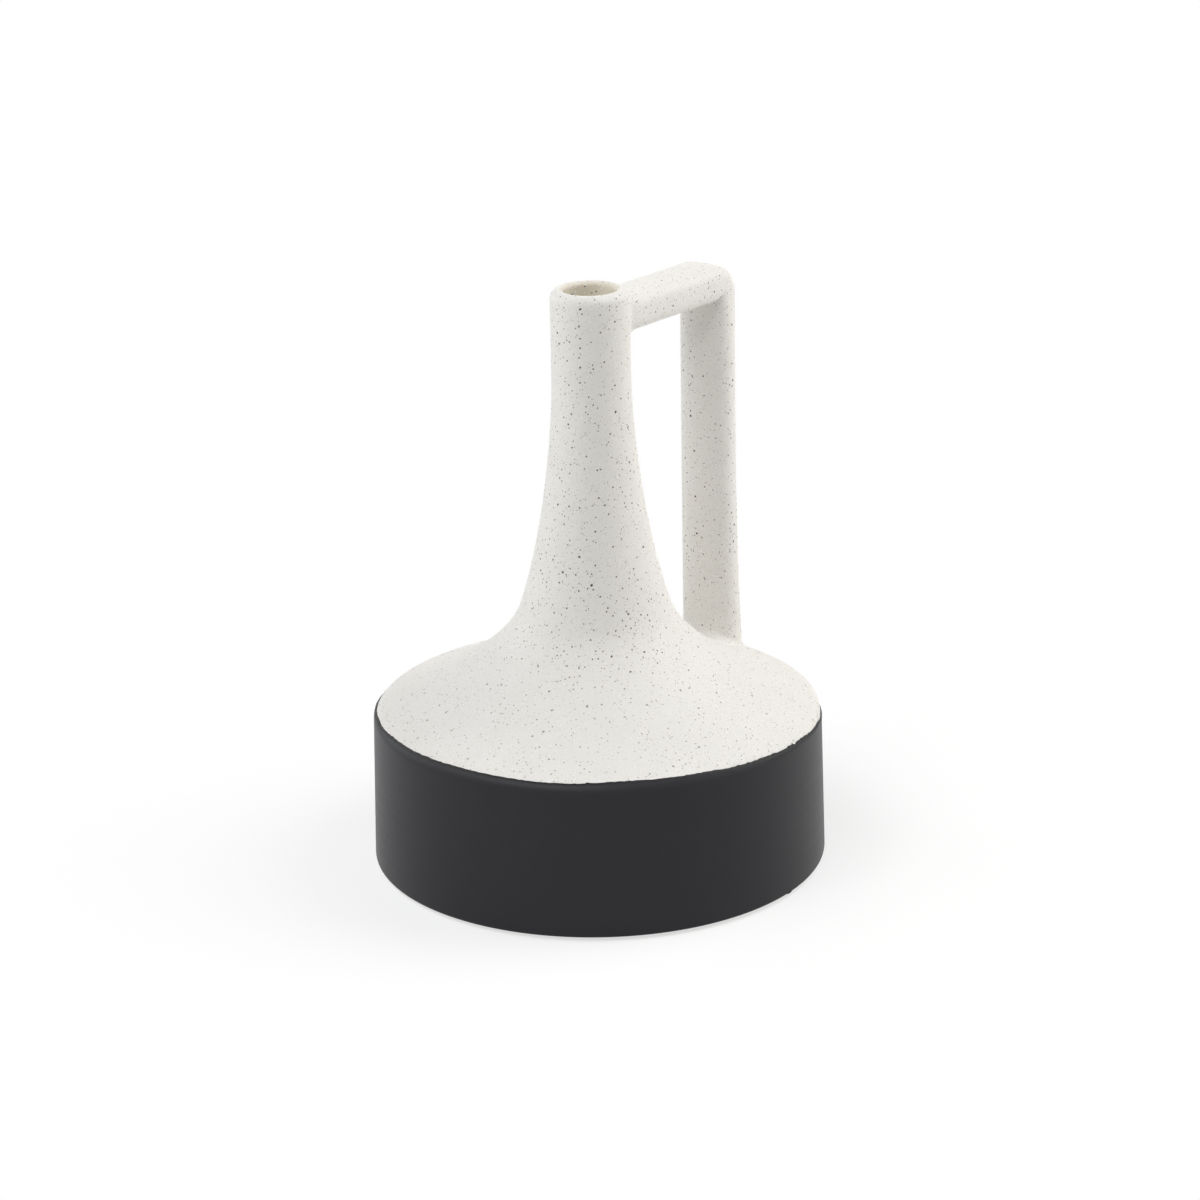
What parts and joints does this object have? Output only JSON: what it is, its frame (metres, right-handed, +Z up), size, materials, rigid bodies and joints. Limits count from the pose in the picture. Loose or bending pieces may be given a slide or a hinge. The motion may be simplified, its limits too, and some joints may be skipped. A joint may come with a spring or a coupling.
{
  "type": "jug vase",
  "caption": "Stoneware jug vase: low hollow drum in matte black glaze, pale speckled shoulder flaring up into a long open neck, and a square-cornered bar handle from neck to shoulder.",
  "frame": {"origin": "on the axis of the drum and neck, in the plane that the foot pads rest on", "axes": "+Z up along the neck, -Y towards the front; the handle stands at 52 degrees from +X towards +Y"},
  "size_m": [0.18, 0.18, 0.2306],
  "materials": {
    "pale_glaze": "matte speckled off-white glaze",
    "black_glaze": "matte black glaze",
    "bare_clay": "unglazed stoneware",
    "pad_felt": "pressed felt"
  },
  "bodies": {
    "root": {"base_slab": "bare_clay", "drum_wall": "bare_clay", "shoulder": "pale_glaze", "neck": "pale_glaze", "handle_bridge": "pale_glaze", "handle_upright": "pale_glaze", "black_glaze_coat": "black_glaze", "foot_pad_1": "pad_felt", "foot_pad_2": "pad_felt", "foot_pad_3": "pad_felt", "foot_pad_4": "pad_felt"}
  },
  "joints": []
}
